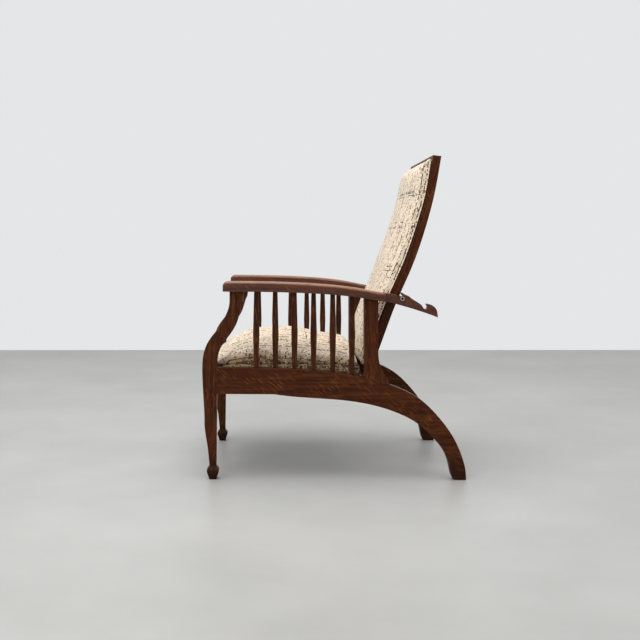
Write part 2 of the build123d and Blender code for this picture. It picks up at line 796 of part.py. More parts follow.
for name, shape in (
    ("front_leg", leg), ("side_rail", side_rail), ("rear_post", post), ("arm", arm),
    ("seat_cleat", cleat), ("seat_side_rail", seat_side_rail), ("back_stile", stile),
):
    pieces[name + "_left"] = one_solid(shape)
    pieces[name + "_right"] = one_solid(other_side(one_solid(shape)))
for i, spindle in enumerate(spindles):
    pieces[f"spindle_left_{i + 1}"] = spindle
    pieces[f"spindle_right_{i + 1}"] = one_solid(other_side(spindle))
pieces["front_seat_rail"] = one_solid(front_seat_rail)
pieces["rear_seat_rail"] = one_solid(rear_seat_rail)
pieces["corner_blocks"] = [one_solid(corner_block), one_solid(other_side(corner_block))]
pieces["cleat_screws"] = [one_solid(screw) for screw in cleat_screws]
pieces["seat_front_bar"] = one_solid(seat_front_bar)
pieces["seat_rear_bar"] = one_solid(seat_rear_bar)
pieces["seat_long_webbing"] = [one_solid(web) for web in long_webs]
pieces["seat_cross_webbing"] = [one_solid(web) for web in cross_webs]
pieces["seat_bottom_cloth"] = one_solid(bottom_cloth)
pieces["seat_pad"] = make_seat_pad()
pieces["back_top_rail"] = one_solid(top_rail)
pieces["back_bottom_rail"] = one_solid(bottom_rail)
pieces["back_middle_rail"] = one_solid(middle_rail)
pieces["back_webbing"] = [one_solid(web) for web in back_webs]
pieces["back_cover_cloth"] = one_solid(rear_cover)
pieces["back_pad"] = one_solid(make_back_pad())
pieces["hinge_base_leaves"] = base_leaves
pieces["hinge_back_leaves"] = back_leaves
pieces["hinge_pins"] = [one_solid(pin) for pin in hinge_pins]
pieces["hinge_base_screws"] = [one_solid(screw) for screw in base_screws]
pieces["hinge_back_screws"] = [one_solid(screw) for screw in back_screws]
pieces["support_rod"] = one_solid(support_rod)

os.makedirs("parts", exist_ok=True)
to_middle = Location((0, -chair_depth / 2, 0))
for name, shape in pieces.items():
    group = shape if isinstance(shape, list) else shape.solids()
    placed = [solid.moved(to_middle) for solid in group]
    export_step(placed[0] if len(placed) == 1 else Compound(placed), f"parts/{name}.step")

for name, place in (("hinge axis", hinge_axis), ("rod center", rod_center), ("rear notch", rear_notch)):
    print(name, round(place.Y - chair_depth / 2, 2), round(place.Z, 2))
first = rod_center - hinge_axis
second = rear_notch - hinge_axis
turn = math.degrees(math.atan2(second.Y, second.Z) - math.atan2(first.Y, first.Z))
print("back lies further by about", round(turn, 1), "degrees with the rod in the rear notches")
print(len(pieces), "nodes")
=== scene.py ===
# %% [markdown]
# # Dressing a reclining armchair
# The chair is sawn from dark oak, with spindled sides, arched rear legs and notched arms that carry
# a steel rod behind the hinged back. Its seat and back are stuffed and covered in a heavy cream
# tweed with dark flecks. The wood and metal pieces arrive already cut to size, so this lesson gives
# them their finishes, and models the two stuffed pieces as cloth that has been filled.

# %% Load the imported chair
import bpy
import bmesh
import math
import mathutils
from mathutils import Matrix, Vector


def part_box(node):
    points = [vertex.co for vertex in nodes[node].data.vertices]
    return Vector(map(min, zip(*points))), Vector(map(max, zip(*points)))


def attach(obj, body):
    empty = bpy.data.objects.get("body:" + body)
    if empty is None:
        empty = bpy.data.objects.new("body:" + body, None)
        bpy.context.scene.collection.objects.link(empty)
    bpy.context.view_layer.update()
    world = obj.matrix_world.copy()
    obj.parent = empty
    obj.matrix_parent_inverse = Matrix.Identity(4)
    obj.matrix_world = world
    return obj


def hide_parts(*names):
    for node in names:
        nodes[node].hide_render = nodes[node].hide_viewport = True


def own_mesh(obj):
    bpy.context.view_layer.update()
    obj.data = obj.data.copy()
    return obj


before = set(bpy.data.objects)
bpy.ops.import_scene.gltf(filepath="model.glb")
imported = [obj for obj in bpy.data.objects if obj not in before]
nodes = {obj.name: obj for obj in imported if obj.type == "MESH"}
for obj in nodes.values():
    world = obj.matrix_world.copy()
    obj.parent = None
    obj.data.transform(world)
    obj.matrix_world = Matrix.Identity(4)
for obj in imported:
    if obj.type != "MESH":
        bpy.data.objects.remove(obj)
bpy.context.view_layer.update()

# %% [markdown]
# A colour picked on a screen is an sRGB value, while the renderer counts light in a linear scale.
# One function does that step for every colour here, so each colour can be read as a plain hex value.
# One more function adds a shader node with its settings, its values and the links into it, and a
# third starts a material. Real sizes are written in millimetres, so MM turns them to metres.

# %% Colours and nodes
def linear(hex_color):
    channels = [int(hex_color[i:i + 2], 16) / 255 for i in (1, 3, 5)]
    return [c / 12.92 if c <= 0.04045 else ((c + 0.055) / 1.055) ** 2.4 for c in channels] + [1.0]


def put(tree, kind, links=None, values=None, **settings):
    added = tree.nodes.new(kind)
    for name, value in settings.items():
        setattr(added, name, value)
    for place, value in (values or {}).items():
        added.inputs[place].default_value = value
    for place, socket in (links or {}).items():
        tree.links.new(socket, added.inputs[place])
    return added


def new_material(name):
    material = bpy.data.materials.new(name)
    material.use_nodes = True
    return material, material.node_tree, material.node_tree.nodes["Principled BSDF"]


MM = 0.001
print("white is", [round(v, 3) for v in linear("#FFFFFF")])

# %% [markdown]
# ## Oak
# The real wood is quarter-sawn oak, darkened with stain and then waxed. To the eye that gives a warm
# red brown with fine dark pores along the grain, broad soft bands from the growth rings, and short
# shiny flecks that cross the grain at a slant, where the saw opened the rays of the tree.
# A photograph of a plank would stretch round the sawn curves, so each of these is a noise pattern
# in the space of the chair, stretched along the grain of the plank that the piece was cut from.
# Pores are about 0.6 mm wide and bands about 9 mm. The flecks are about 3 mm by 30 mm.
# The arrises have been rubbed for a century, so they are a little rounder and paler: the Bevel node
# finds them, as it tells how far the rounded surface turns away from the flat one. The tops of the
# arms are drawn paler between the dark pores: a painted highlight for the light from overhead.

# %% A stained oak plank
RING_ACROSS, RING_ALONG = 9 * MM, 300 * MM
# Pores are drawn 1.1 mm wide, twice the real width, so that they still show at this distance
PORE_ACROSS, PORE_ALONG = 1.1 * MM, 45 * MM
FLECK_ACROSS, FLECK_ALONG = 2.6 * MM, 30 * MM
FLECK_PATCH, WEAR_PATCH = 55 * MM, 14 * MM
ARRIS_RADIUS = 2.0 * MM
# Heights over the floor where the wood starts to be drawn darker, and where it is darkest
FOOT_DARK_TOP, FOOT_DARK_FULL = 90 * MM, 20 * MM


def oak(name, grain_turn, shift, tone, fleck_turn, grain_axis, shine, top_highlight=0.0):
    material, tree, shader = new_material(name)
    space = put(tree, "ShaderNodeTexCoord")
    plank = put(tree, "ShaderNodeMapping", {"Vector": space.outputs["Object"]}, {"Rotation": grain_turn})
    board = put(tree, "ShaderNodeMapping", {"Vector": plank.outputs["Vector"]}, {"Location": shift})
    # Growth rings: soft bands, narrow across the grain and long along it
    ring_space = put(tree, "ShaderNodeMapping", {"Vector": board.outputs["Vector"]},
                     {"Scale": (1 / RING_ACROSS, 1 / RING_ACROSS, 1 / RING_ALONG)})
    rings = put(tree, "ShaderNodeTexNoise", {"Vector": ring_space.outputs["Vector"]},
                {"Scale": 1.0, "Detail": 3.0, "Roughness": 0.6, "Distortion": 0.5})
    ring_color = put(tree, "ShaderNodeValToRGB", {"Fac": rings.outputs["Fac"]})
    ring_color.color_ramp.elements[0].position = 0.30
    ring_color.color_ramp.elements[0].color = linear("#34190C")
    ring_color.color_ramp.elements[1].position = 0.68
    ring_color.color_ramp.elements[1].color = linear("#583018")
    middle = ring_color.color_ramp.elements.new(0.5)
    middle.color = linear(tone)
    # Pores: fine dark lines along the grain
    pore_space = put(tree, "ShaderNodeMapping", {"Vector": board.outputs["Vector"]},
                     {"Scale": (1 / PORE_ACROSS, 1 / PORE_ACROSS, 1 / PORE_ALONG)})
    pores = put(tree, "ShaderNodeTexNoise", {"Vector": pore_space.outputs["Vector"]},
                {"Scale": 1.0, "Detail": 2.0, "Roughness": 0.55})
    pore_mask = put(tree, "ShaderNodeMapRange", {"Value": pores.outputs["Fac"]},
                    {"From Min": 0.50, "From Max": 0.70, "To Min": 0.0, "To Max": 0.75})
    porous = put(tree, "ShaderNodeMix", {0: pore_mask.outputs["Result"], 6: ring_color.outputs["Color"]},
                 {7: linear("#1B0B05")}, data_type="RGBA")
    # Ray flecks: they lean over the grain and come in patches
    slant = put(tree, "ShaderNodeMapping", {"Vector": space.outputs["Object"]},
                {"Rotation": (math.radians(fleck_turn), 0, 0)})
    fleck_space = put(tree, "ShaderNodeMapping", {"Vector": slant.outputs["Vector"]},
                      {"Scale": (1 / FLECK_ACROSS, 1 / FLECK_ACROSS, 1 / FLECK_ALONG)})
    flecks = put(tree, "ShaderNodeTexNoise", {"Vector": fleck_space.outputs["Vector"]},
                 {"Scale": 1.0, "Detail": 1.0, "Roughness": 0.4})
    fleck_mask = put(tree, "ShaderNodeMapRange", {"Value": flecks.outputs["Fac"]},
                     {"From Min": 0.56, "From Max": 0.68, "To Min": 0.0, "To Max": 1.0})
    patches = put(tree, "ShaderNodeTexNoise", {"Vector": board.outputs["Vector"]},
                  {"Scale": 1 / FLECK_PATCH, "Detail": 1.0})
    patch_mask = put(tree, "ShaderNodeMapRange", {"Value": patches.outputs["Fac"]},
                     {"From Min": 0.38, "From Max": 0.58, "To Min": 0.1, "To Max": 0.8})
    fleck_share = put(tree, "ShaderNodeMath",
                      {0: fleck_mask.outputs["Result"], 1: patch_mask.outputs["Result"]},
                      operation="MULTIPLY")
    flecked = put(tree, "ShaderNodeMix", {0: fleck_share.outputs[0], 6: porous.outputs[2]},
                  {7: linear("#78431F")}, data_type="RGBA")
    # Rubbed arrises: the rounded normal against the flat face's own
    rounded = put(tree, "ShaderNodeBevel", values={"Radius": ARRIS_RADIUS}, samples=4)
    flat = put(tree, "ShaderNodeNewGeometry")
    agreement = put(tree, "ShaderNodeVectorMath", {0: rounded.outputs["Normal"], 1: flat.outputs["Normal"]},
                    operation="DOT_PRODUCT")
    wear_noise = put(tree, "ShaderNodeTexNoise", {"Vector": space.outputs["Object"]},
                     {"Scale": 1 / WEAR_PATCH, "Detail": 3.0})
    rub = put(tree, "ShaderNodeMapRange", {"Value": agreement.outputs["Value"]},
              {"From Min": 0.995, "From Max": 0.80, "To Min": 0.0, "To Max": 0.8})
    rub_share = put(tree, "ShaderNodeMath", {0: rub.outputs["Result"], 1: wear_noise.outputs["Fac"]},
                    operation="MULTIPLY")
    worn = put(tree, "ShaderNodeMix", {0: rub_share.outputs[0], 6: flecked.outputs[2]},
               {7: linear("#8A5434")}, data_type="RGBA")
    # Painted highlight: what faces up is drawn paler, for the light from overhead, less so in the pores and
    # the dark rings
    facing = put(tree, "ShaderNodeSeparateXYZ", {"Vector": rounded.outputs["Normal"]})
    top_highlight_mask = put(tree, "ShaderNodeMapRange", {"Value": facing.outputs["Z"]},
                    {"From Min": 0.15, "From Max": 0.8, "To Min": 0.0, "To Max": top_highlight})
    out_of_pores = put(tree, "ShaderNodeMath", {0: pore_mask.outputs["Result"]}, {1: -0.9, 2: 1.0},
                       operation="MULTIPLY_ADD")
    highlight_share = put(tree, "ShaderNodeMath", {0: top_highlight_mask.outputs["Result"], 1: out_of_pores.outputs[0]},
                    operation="MULTIPLY")
    ring_share = put(tree, "ShaderNodeMapRange", {"Value": rings.outputs["Fac"]},
                     {"From Min": 0.35, "From Max": 0.62, "To Min": 0.0, "To Max": 1.0})
    highlight_wood = put(tree, "ShaderNodeMix", {0: ring_share.outputs["Result"]},
                    {6: linear("#7C4C34"), 7: linear("#A8714F")}, data_type="RGBA")
    with_top_highlight = put(tree, "ShaderNodeMix",
                 {0: highlight_share.outputs[0], 6: worn.outputs[2], 7: highlight_wood.outputs[2]}, data_type="RGBA")
    # Painted reflection: faces across the grain are drawn dull grey, for the light that the end grain
    # catches
    along_grain = put(tree, "ShaderNodeVectorMath", {0: flat.outputs["Normal"]}, {1: grain_axis},
                      operation="DOT_PRODUCT")
    end_on = put(tree, "ShaderNodeMath", {0: along_grain.outputs["Value"]}, operation="ABSOLUTE")
    end_glint_share = put(tree, "ShaderNodeMapRange", {"Value": end_on.outputs[0]},
                    {"From Min": 0.80, "From Max": 0.97, "To Min": 0.0, "To Max": 0.85})
    with_end_glint = put(tree, "ShaderNodeMix", {0: end_glint_share.outputs["Result"], 6: with_top_highlight.outputs[2]},
                 {7: linear("#4C3C35")}, data_type="RGBA")
    # The wood is drawn darker towards the floor, from 90 mm down to 20 mm
    height = put(tree, "ShaderNodeSeparateXYZ", {"Vector": space.outputs["Object"]})
    foot_darkening = put(tree, "ShaderNodeMapRange", {"Value": height.outputs["Z"]},
                {"From Min": FOOT_DARK_TOP, "From Max": FOOT_DARK_FULL, "To Min": 0.0, "To Max": 0.65})
    darker_feet = put(tree, "ShaderNodeMix", {0: foot_darkening.outputs["Result"], 6: with_end_glint.outputs[2]},
                {7: linear("#1A0E09")}, data_type="RGBA")
    tree.links.new(darker_feet.outputs[2], shader.inputs["Base Color"])
    # Wax is smoother on the hard flecks and duller in the pores
    gloss = put(tree, "ShaderNodeMapRange", {"Value": pores.outputs["Fac"]},
                {"From Min": 0.3, "From Max": 0.7, "To Min": 0.34, "To Max": 0.50})
    tree.links.new(gloss.outputs["Result"], shader.inputs["Roughness"])
    shader.inputs["Specular IOR Level"].default_value = shine
    relief = put(tree, "ShaderNodeBump",
                 {"Height": pores.outputs["Fac"], "Normal": rounded.outputs["Normal"]},
                 {"Strength": 0.25, "Distance": 0.25 * MM})
    tree.links.new(relief.outputs["Normal"], shader.inputs["Normal"])
    return material


# How the grain of a plank is turned, how its flecks lean in degrees, and where its end grain faces
QUARTER = math.radians(90)
along_y = (QUARTER, 0, 0)
along_x = (0, QUARTER, 0)
along_z = (0, 0, 0)
up_the_back = (math.radians(17), 0, 0)
DOWN_TO_THE_REAR, UPRIGHT, STEEP = 130, 0, 150
ACROSS, REARWARD, UPWARD = (1, 0, 0), (0, 1, 0), (0, 0, 1)
DULL_WAX, HANDLED_WAX = 0.08, 0.35
# How much paler the tops of the arms are drawn: a painted highlight for the light from overhead
ARM_TOP_HIGHLIGHT = 0.75
planks = {}
for i, side in enumerate(("left", "right")):
    for name, grain, shift, tone, fleck_turn, grain_axis, shine in (
        ("arm", along_y, (0.3 * i, 0.2, 0.1), "#522A17", DOWN_TO_THE_REAR, REARWARD, HANDLED_WAX),
        ("side_rail", along_y, (0.5, 0.4 * i, 0.7), "#472210", DOWN_TO_THE_REAR, REARWARD, DULL_WAX),
        ("front_leg", along_z, (0.9 * i, 0.6, 0.2), "#442110", UPRIGHT, UPWARD, DULL_WAX),
        ("rear_post", along_z, (0.2, 0.8 * i, 0.5), "#4A2411", UPRIGHT, UPWARD, DULL_WAX),
        ("back_stile", up_the_back, (0.7, 0.1 * i, 0.3), "#45210F", STEEP, UPWARD, DULL_WAX),
    ):
        top_highlight = ARM_TOP_HIGHLIGHT if name == "arm" else 0.0
        planks[name + "_" + side] = oak("stained_oak_" + name + "_" + side, grain, shift, tone, fleck_turn,
                                        grain_axis, shine, top_highlight)
planks["spindle"] = oak("stained_oak_spindle", along_z, (0.15, 0.25, 0.35), "#3C1D0E", UPRIGHT, UPWARD,
                        DULL_WAX)
planks["cross_rail"] = oak("stained_oak_cross_rail", along_x, (0.45, 0.35, 0.25), "#472210", STEEP, ACROSS,
                           DULL_WAX)
print(len(planks), "oak planks")

# %% [markdown]
# ## Steel
# The rod is a plain drawn steel tube, so its fine scratches run round it from being turned and
# wiped. The hinges are pressed from blued strip, with a brown bloom where the oil has dried.
# Steel is all metallic: what the eye gets is a grey reflection that is stretched by the scratches.

# %% Drawn steel and hinge steel
SCRATCH_LENGTH, OIL_BLOOM = 20 * MM, 7 * MM
# How far the scratches make it smoother or rougher
SMOOTHER, ROUGHER = 0.08, 0.12


def steel(name, pale, dull, roughness, scratch_mm):
    material, tree, shader = new_material(name)
    shader.inputs["Metallic"].default_value = 1.0
    space = put(tree, "ShaderNodeTexCoord")
    scratch_space = put(tree, "ShaderNodeMapping", {"Vector": space.outputs["Object"]},
                        {"Scale": (1 / (scratch_mm * MM), 1 / SCRATCH_LENGTH, 1 / SCRATCH_LENGTH)})
    scratches = put(tree, "ShaderNodeTexNoise", {"Vector": scratch_space.outputs["Vector"]},
                    {"Scale": 1.0, "Detail": 3.0})
    bloom = put(tree, "ShaderNodeTexNoise", {"Vector": space.outputs["Object"]},
                {"Scale": 1 / OIL_BLOOM, "Detail": 4.0})
    spread = put(tree, "ShaderNodeMapRange", {"Value": bloom.outputs["Fac"]},
                 {"From Min": 0.45, "From Max": 0.75, "To Min": 0.0, "To Max": 0.8})
    color = put(tree, "ShaderNodeMix", {0: spread.outputs["Result"]},
                {6: linear(pale), 7: linear(dull)}, data_type="RGBA")
    tree.links.new(color.outputs[2], shader.inputs["Base Color"])
    rough = put(tree, "ShaderNodeMapRange", {"Value": scratches.outputs["Fac"]},
                {"From Min": 0.3, "From Max": 0.7, "To Min": roughness - SMOOTHER,
                 "To Max": roughness + ROUGHER})
    tree.links.new(rough.outputs["Result"], shader.inputs["Roughness"])
    relief = put(tree, "ShaderNodeBump", {"Height": scratches.outputs["Fac"]},
                 {"Strength": 0.15, "Distance": 0.05 * MM})
    tree.links.new(relief.outputs["Normal"], shader.inputs["Normal"])
    return material


rod_steel = steel("drawn_steel", "#B9B4AC", "#8A8076", roughness=0.32, scratch_mm=0.8)
hinge_steel = steel("blued_hinge_steel", "#77726C", "#4C3D33", roughness=0.42, scratch_mm=1.2)
screw_steel = steel("screw_steel", "#8F8A82", "#5A4A3E", roughness=0.38, scratch_mm=1.0)
print("three steels")

# %% [markdown]
# ## Hidden and rear cloths
# Under the seat is a dark dust cloth, and the back has a plain brown cover behind it, both close
# woven cotton. Jute webbing carries the stuffing. Each is a plain weave, so two sets of waves at
# right angles, one for each set of threads, give the colour and the relief.

# %% Plain woven cloths
SOIL_PATCH = 60 * MM


def plain_weave(name, dark, light, thread_mm, turn=(0, 0, 0)):
    material, tree, shader = new_material(name)
    space = put(tree, "ShaderNodeTexCoord")
    laid = put(tree, "ShaderNodeMapping", {"Vector": space.outputs["Object"]}, {"Rotation": turn})
    # A wave texture's bands repeat 20 / (2 pi) times for each unit of its scale
    scale = math.tau / 20 / (thread_mm * MM)
    across = put(tree, "ShaderNodeTexWave", {"Vector": laid.outputs["Vector"]},
                 {"Scale": scale, "Distortion": 0.6, "Detail Scale": 2.0}, bands_direction="X")
    along = put(tree, "ShaderNodeTexWave", {"Vector": laid.outputs["Vector"]},
                {"Scale": scale, "Distortion": 0.6, "Detail Scale": 2.0}, bands_direction="Y")
    threads = put(tree, "ShaderNodeMath", {0: across.outputs["Fac"], 1: along.outputs["Fac"]},
                  operation="MULTIPLY")
    soil = put(tree, "ShaderNodeTexNoise", {"Vector": space.outputs["Object"]},
               {"Scale": 1 / SOIL_PATCH, "Detail": 4.0})
    mixed = put(tree, "ShaderNodeMath",
                {0: threads.outputs[0], 1: soil.outputs["Fac"], 2: soil.outputs["Fac"]},
                operation="MULTIPLY_ADD")
    color = put(tree, "ShaderNodeMix", {0: mixed.outputs[0]}, {6: linear(dark), 7: linear(light)},
                data_type="RGBA")
    tree.links.new(color.outputs[2], shader.inputs["Base Color"])
    shader.inputs["Roughness"].default_value = 0.9
    shader.inputs["Specular IOR Level"].default_value = 0.25
    relief = put(tree, "ShaderNodeBump", {"Height": threads.outputs[0]},
                 {"Strength": 0.5, "Distance": 0.3 * MM})
    tree.links.new(relief.outputs["Normal"], shader.inputs["Normal"])
    return material


dust_cloth = plain_weave("cotton_dust_cloth", "#15110F", "#2E2723", thread_mm=2.0)
rear_cloth = plain_weave("cotton_rear_cloth", "#2A1E17", "#5B4636", thread_mm=2.4, turn=(QUARTER, 0, 0))
jute = plain_weave("jute_webbing_cloth", "#6B5534", "#B79C6C", thread_mm=4.0)
print("three plain cloths")

# %% [markdown]
# ## Giving every sawn and drawn piece its finish
# The pieces that came with the chair keep their shapes. Each gets the plank whose grain runs the way
# a joiner would have laid it: along the arms and rails, up the legs, posts and spindles.

# %% Finishes on the carried-over pieces
def finish_for(name):
    if name in planks:
        return planks[name]
    if name.startswith("spindle") or "dowels" in name:
        return planks["spindle"]
    if name == "support_rod":
        return rod_steel
    if name.startswith("hinge"):
        return hinge_steel
    if name == "cleat_screws":
        return screw_steel
    if "webbing" in name:
        return jute
    if name == "seat_bottom_cloth":
        return dust_cloth
    if name == "back_cover_cloth":
        return rear_cloth
    if name.startswith(("seat_side_rail", "seat_cleat")):
        return planks["arm_left"]
    return planks["cross_rail"]


for name, node in nodes.items():
    finish = finish_for(name)
    if not node.data.materials:
        node.data.materials.append(finish)
    for i in range(len(node.data.materials)):
        node.data.materials[i] = finish
print("finished", len(nodes), "pieces")

# %% [markdown]
# ## Tweed
# The cover is a heavy hand-woven tweed: thick cream yarn with a curl in it, crossed by darker yarns.
# Dark brown flecks line up in columns where a dark warp thread comes to the face, and in short
# dashes where a dark weft does. A few flecks are ochre or grey.
# Each crossing of two threads is one cell of a grid, and a random number for the cell picks its
# yarn. The odds rise in some columns and rows. The grid reads the piece's own UV map, which is laid
# out in metres, so the threads follow the cloth over the edges as they do on the real cover.
# The real threads are about 2 mm apart. They are drawn 4 mm by 4.6 mm so that they show.

# %% A flecked tweed
THREAD_ACROSS, THREAD_ALONG = 4.0 * MM, 4.6 * MM
CURL_LENGTH, CURL_REACH = 11 * MM, 7 * MM
DARK_PATCH, FIBRE = 48 * MM, 1.2 * MM
# A column or row is dark where its random number is over this, and these are the odds of a fleck
DARK_COLUMN_OVER, DARK_ROW_OVER = 0.80, 0.90
ODDS_ANYWHERE, ODDS_AT_BORDER = 0.05, 0.20
OCHRE_OVER, GREY_UNDER = 0.955, 0.10
# How broad the top of a pillow is, and how much its fibres add to its height
PILLOW_POWER, FIBRE_SHARE = 0.6, 0.9
# Any number does here: it keeps the rows' random numbers apart from the columns'
ROW_SHIFT = 371.0


def tweed(name, border_start_mm, border_depth_mm):
    material, tree, shader = new_material(name)
    laid = put(tree, "ShaderNodeUVMap", uv_map="cloth").outputs["UV"]
    # The yarn wanders by about a millimetre
    wander = put(tree, "ShaderNodeTexNoise", {"Vector": laid}, {"Scale": 1 / CURL_LENGTH, "Detail": 2.0})
    wander_centered = put(tree, "ShaderNodeVectorMath", {0: wander.outputs["Color"]}, {1: (0.5, 0.5, 0.5)},
                          operation="SUBTRACT")
    wander_sized = put(tree, "ShaderNodeVectorMath", {0: wander_centered.outputs[0]}, {"Scale": CURL_REACH},
                       operation="SCALE")
    wandered = put(tree, "ShaderNodeVectorMath", {0: laid, 1: wander_sized.outputs[0]}, operation="ADD")
    counted = put(tree, "ShaderNodeVectorMath", {0: wandered.outputs[0]},
                  {1: (1 / THREAD_ACROSS, 1 / THREAD_ALONG, 0)}, operation="MULTIPLY")
    cell = put(tree, "ShaderNodeVectorMath", {0: counted.outputs[0]}, operation="FLOOR")
    within = put(tree, "ShaderNodeVectorMath", {0: counted.outputs[0]}, operation="FRACTION")
    cell_parts = put(tree, "ShaderNodeSeparateXYZ", {0: cell.outputs[0]})
    within_parts = put(tree, "ShaderNodeSeparateXYZ", {0: within.outputs[0]})
    pick = put(tree, "ShaderNodeTexWhiteNoise", {"Vector": cell.outputs[0]}, noise_dimensions="2D")
    pick_parts = put(tree, "ShaderNodeSeparateColor", {0: pick.outputs["Color"]})
    column_pick = put(tree, "ShaderNodeTexWhiteNoise", {"W": cell_parts.outputs[0]}, noise_dimensions="1D")
    row_shifted = put(tree, "ShaderNodeMath", {0: cell_parts.outputs[1]}, {1: ROW_SHIFT}, operation="ADD")
    row_pick = put(tree, "ShaderNodeTexWhiteNoise", {"W": row_shifted.outputs[0]}, noise_dimensions="1D")
    dark_column = put(tree, "ShaderNodeMath", {0: column_pick.outputs["Value"]}, {1: DARK_COLUMN_OVER},
                      operation="GREATER_THAN")
    dark_row = put(tree, "ShaderNodeMath", {0: row_pick.outputs["Value"]}, {1: DARK_ROW_OVER},
                   operation="GREATER_THAN")
    # The dark threads dip in and out of the face in patches
    patches = put(tree, "ShaderNodeTexNoise", {"Vector": laid}, {"Scale": 1 / DARK_PATCH, "Detail": 2.0})
    patch_parts = put(tree, "ShaderNodeSeparateColor", {0: patches.outputs["Color"]})
    column_patch = put(tree, "ShaderNodeMapRange", {"Value": patch_parts.outputs[0]},
                       {"From Min": 0.40, "From Max": 0.58, "To Min": 0.15, "To Max": 0.95})
    row_patch = put(tree, "ShaderNodeMapRange", {"Value": patch_parts.outputs[1]},
                    {"From Min": 0.50, "From Max": 0.64, "To Min": 0.0, "To Max": 0.80})
    # Towards the border of the cover the weave is denser and darker: the denser flecks are the cover's own,
    # and the darker ground is partly painted shade on the cushion's side
    laid_parts = put(tree, "ShaderNodeSeparateXYZ", {0: wandered.outputs[0]})
    off_center = put(tree, "ShaderNodeMath", {0: laid_parts.outputs[0]}, operation="ABSOLUTE")
    border_and_shade = put(tree, "ShaderNodeMapRange", {"Value": off_center.outputs[0]},
                 {"From Min": border_start_mm * MM, "From Max": (border_start_mm + border_depth_mm) * MM,
                  "To Min": 0.0, "To Max": 1.0})
    # The odds of a dark crossing add up from its column, its row and the border
    column_odds = put(tree, "ShaderNodeMath", {0: dark_column.outputs[0], 1: column_patch.outputs["Result"]},
                      {2: ODDS_ANYWHERE}, operation="MULTIPLY_ADD")
    row_odds = put(tree, "ShaderNodeMath",
                   {0: dark_row.outputs[0], 1: row_patch.outputs["Result"], 2: column_odds.outputs[0]},
                   operation="MULTIPLY_ADD")
    odds = put(tree, "ShaderNodeMath", {0: border_and_shade.outputs["Result"], 2: row_odds.outputs[0]},
               {1: ODDS_AT_BORDER}, operation="MULTIPLY_ADD")
    picked = put(tree, "ShaderNodeMath", {0: pick_parts.outputs[0], 1: odds.outputs[0]},
                 operation="LESS_THAN")
    # Yarn colours
    cream = put(tree, "ShaderNodeMix", {0: pick_parts.outputs[1]},
                {6: linear("#FBEBD8"), 7: linear("#EAD7BE")}, data_type="RGBA")
    # The darker cream of the cushion's side: partly the cover's border, partly painted shade
    shaded_border_cream = put(tree, "ShaderNodeMix", {0: pick_parts.outputs[1]},
                       {6: linear("#C2A986"), 7: linear("#8F7A5C")}, data_type="RGBA")
    ground = put(tree, "ShaderNodeMix",
                 {0: border_and_shade.outputs["Result"], 6: cream.outputs[2], 7: shaded_border_cream.outputs[2]},
                 data_type="RGBA")
    is_ochre = put(tree, "ShaderNodeMath", {0: pick_parts.outputs[2]}, {1: OCHRE_OVER},
                   operation="GREATER_THAN")
    with_ochre = put(tree, "ShaderNodeMix", {0: is_ochre.outputs[0], 6: ground.outputs[2]},
                     {7: linear("#C08C48")}, data_type="RGBA")
    is_grey = put(tree, "ShaderNodeMath", {0: pick_parts.outputs[2]}, {1: GREY_UNDER}, operation="LESS_THAN")
    with_grey = put(tree, "ShaderNodeMix", {0: is_grey.outputs[0], 6: with_ochre.outputs[2]},
                    {7: linear("#C6B598")}, data_type="RGBA")
    dark_yarn = put(tree, "ShaderNodeMix", {0: pick_parts.outputs[1]},
                    {6: linear("#1E1512"), 7: linear("#5C4738")}, data_type="RGBA")
    # Each crossing stands up like a small pillow, and the fibres make it rough
    turn_u = put(tree, "ShaderNodeMath", {0: within_parts.outputs[0]}, {1: math.pi}, operation="MULTIPLY")
    turn_v = put(tree, "ShaderNodeMath", {0: within_parts.outputs[1]}, {1: math.pi}, operation="MULTIPLY")
    wave_u = put(tree, "ShaderNodeMath", {0: turn_u.outputs[0]}, operation="SINE")
    wave_v = put(tree, "ShaderNodeMath", {0: turn_v.outputs[0]}, operation="SINE")
    waves = put(tree, "ShaderNodeMath", {0: wave_u.outputs[0], 1: wave_v.outputs[0]}, operation="MULTIPLY")
    pillow = put(tree, "ShaderNodeMath", {0: waves.outputs[0]}, {1: PILLOW_POWER}, operation="POWER")
    # A dark yarn shows on the top of its pillow, so neighbouring flecks stay apart
    picked_pillow = put(tree, "ShaderNodeMath", {0: picked.outputs[0], 1: pillow.outputs[0]},
                        operation="MULTIPLY")
    dark = put(tree, "ShaderNodeMapRange", {"Value": picked_pillow.outputs[0]},
               {"From Min": 0.12, "From Max": 0.36, "To Min": 0.0, "To Max": 1.0})
    yarns = put(tree, "ShaderNodeMix",
                {0: dark.outputs["Result"], 6: with_grey.outputs[2], 7: dark_yarn.outputs[2]},
                data_type="RGBA")
    fibre = put(tree, "ShaderNodeTexNoise", {"Vector": laid}, {"Scale": 1 / FIBRE, "Detail": 3.0})
    height = put(tree, "ShaderNodeMath", {0: fibre.outputs["Fac"], 2: pillow.outputs[0]}, {1: FIBRE_SHARE},
                 operation="MULTIPLY_ADD")
    # The hollows between the yarns take less light
    shade = put(tree, "ShaderNodeMapRange", {"Value": height.outputs[0]},
                {"From Min": 0.3, "From Max": 1.1, "To Min": 0.55, "To Max": 0.0})
    hollowed = put(tree, "ShaderNodeMix", {0: shade.outputs["Result"], 6: yarns.outputs[2]},
                   {7: linear("#9C8B6E")}, data_type="RGBA", blend_type="MULTIPLY")
    tree.links.new(hollowed.outputs[2], shader.inputs["Base Color"])
    shader.inputs["Roughness"].default_value = 0.95
    shader.inputs["Specular IOR Level"].default_value = 0.2
    shader.inputs["Sheen Weight"].default_value = 0.25
    shader.inputs["Sheen Roughness"].default_value = 0.5
    relief = put(tree, "ShaderNodeBump", {"Height": height.outputs[0]},
                 {"Strength": 0.8, "Distance": 0.9 * MM})
    tree.links.new(relief.outputs["Normal"], shader.inputs["Normal"])
    return material


seat_tweed = tweed("cream_tweed_seat", border_start_mm=270, border_depth_mm=30)
back_tweed = tweed("cream_tweed_back", border_start_mm=262, border_depth_mm=40)
print("two lengths of tweed")

